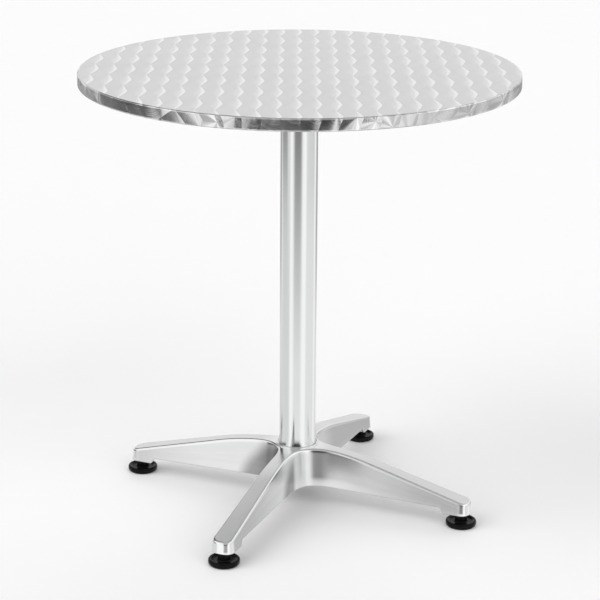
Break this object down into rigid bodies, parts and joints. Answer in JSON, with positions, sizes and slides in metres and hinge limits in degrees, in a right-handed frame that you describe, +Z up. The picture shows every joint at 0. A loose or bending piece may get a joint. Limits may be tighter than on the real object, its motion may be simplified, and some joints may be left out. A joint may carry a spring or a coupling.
{
  "type": "bistro table",
  "caption": "Round bistro table: swirl-finished steel top on one aluminium column, with a cast cross base and screw-in levelling feet.",
  "frame": {"origin": "on the floor, under the middle of the column, with the feet screwed fully in", "axes": "+Z up along the column, legs along X and Y, -Y the front"},
  "size_m": [0.7, 0.7, 0.73],
  "materials": {
    "top_steel": "stainless, overlapping circular swirl finish",
    "core_board": "raw fibreboard",
    "backing_laminate": "matt grey laminate",
    "column_aluminium": "satin anodised tube",
    "cast_aluminium": "casting, linished upper faces, brushed sides, polished edges",
    "zinc_steel": "bright zinc plate",
    "foot_plastic": "satin black moulded plastic"
  },
  "bodies": {
    "table": {"top_skin": "top_steel", "top_core": "core_board", "backing_sheet": "backing_laminate", "top_spider": "cast_aluminium", "spider_screw_inner_right": "zinc_steel", "spider_screw_outer_right": "zinc_steel", "spider_screw_inner_back": "zinc_steel", "spider_screw_outer_back": "zinc_steel", "spider_screw_inner_left": "zinc_steel", "spider_screw_outer_left": "zinc_steel", "spider_screw_inner_front": "zinc_steel", "spider_screw_outer_front": "zinc_steel", "column_tube": "column_aluminium", "tie_rod": "zinc_steel", "rod_washer": "zinc_steel", "rod_nut": "zinc_steel", "base_casting": "cast_aluminium"},
    "stud_right": {"foot_stud_right": "zinc_steel"},
    "pad_right": {"foot_pad_right": "foot_plastic"},
    "stud_back": {"foot_stud_back": "zinc_steel"},
    "pad_back": {"foot_pad_back": "foot_plastic"},
    "stud_left": {"foot_stud_left": "zinc_steel"},
    "pad_left": {"foot_pad_left": "foot_plastic"},
    "stud_front": {"foot_stud_front": "zinc_steel"},
    "pad_front": {"foot_pad_front": "foot_plastic"}
  },
  "joints": [
    {"name": "foot_travel_right", "type": "slide", "parent": "table", "child": "stud_right", "axis": [0, 0, -1], "range_m": [0, 0.01]},
    {"name": "foot_turn_right", "type": "hinge", "parent": "stud_right", "child": "pad_right", "pos_m": [0.291, 0, 0.01], "axis": [0, 0, -1], "range_deg": [0, 2880]},
    {"name": "foot_travel_back", "type": "slide", "parent": "table", "child": "stud_back", "axis": [0, 0, -1], "range_m": [0, 0.01]},
    {"name": "foot_turn_back", "type": "hinge", "parent": "stud_back", "child": "pad_back", "pos_m": [0, 0.291, 0.01], "axis": [0, 0, -1], "range_deg": [0, 2880]},
    {"name": "foot_travel_left", "type": "slide", "parent": "table", "child": "stud_left", "axis": [0, 0, -1], "range_m": [0, 0.01]},
    {"name": "foot_turn_left", "type": "hinge", "parent": "stud_left", "child": "pad_left", "pos_m": [-0.291, 0, 0.01], "axis": [0, 0, -1], "range_deg": [0, 2880]},
    {"name": "foot_travel_front", "type": "slide", "parent": "table", "child": "stud_front", "axis": [0, 0, -1], "range_m": [0, 0.01]},
    {"name": "foot_turn_front", "type": "hinge", "parent": "stud_front", "child": "pad_front", "pos_m": [0, -0.291, 0.01], "axis": [0, 0, -1], "range_deg": [0, 2880]}
  ],
  "couplings": [
    {"joint": "foot_travel_right", "follows": "foot_turn_right", "m_per_rad": 0.00019894},
    {"joint": "foot_travel_back", "follows": "foot_turn_back", "m_per_rad": 0.00019894},
    {"joint": "foot_travel_left", "follows": "foot_turn_left", "m_per_rad": 0.00019894},
    {"joint": "foot_travel_front", "follows": "foot_turn_front", "m_per_rad": 0.00019894}
  ]
}
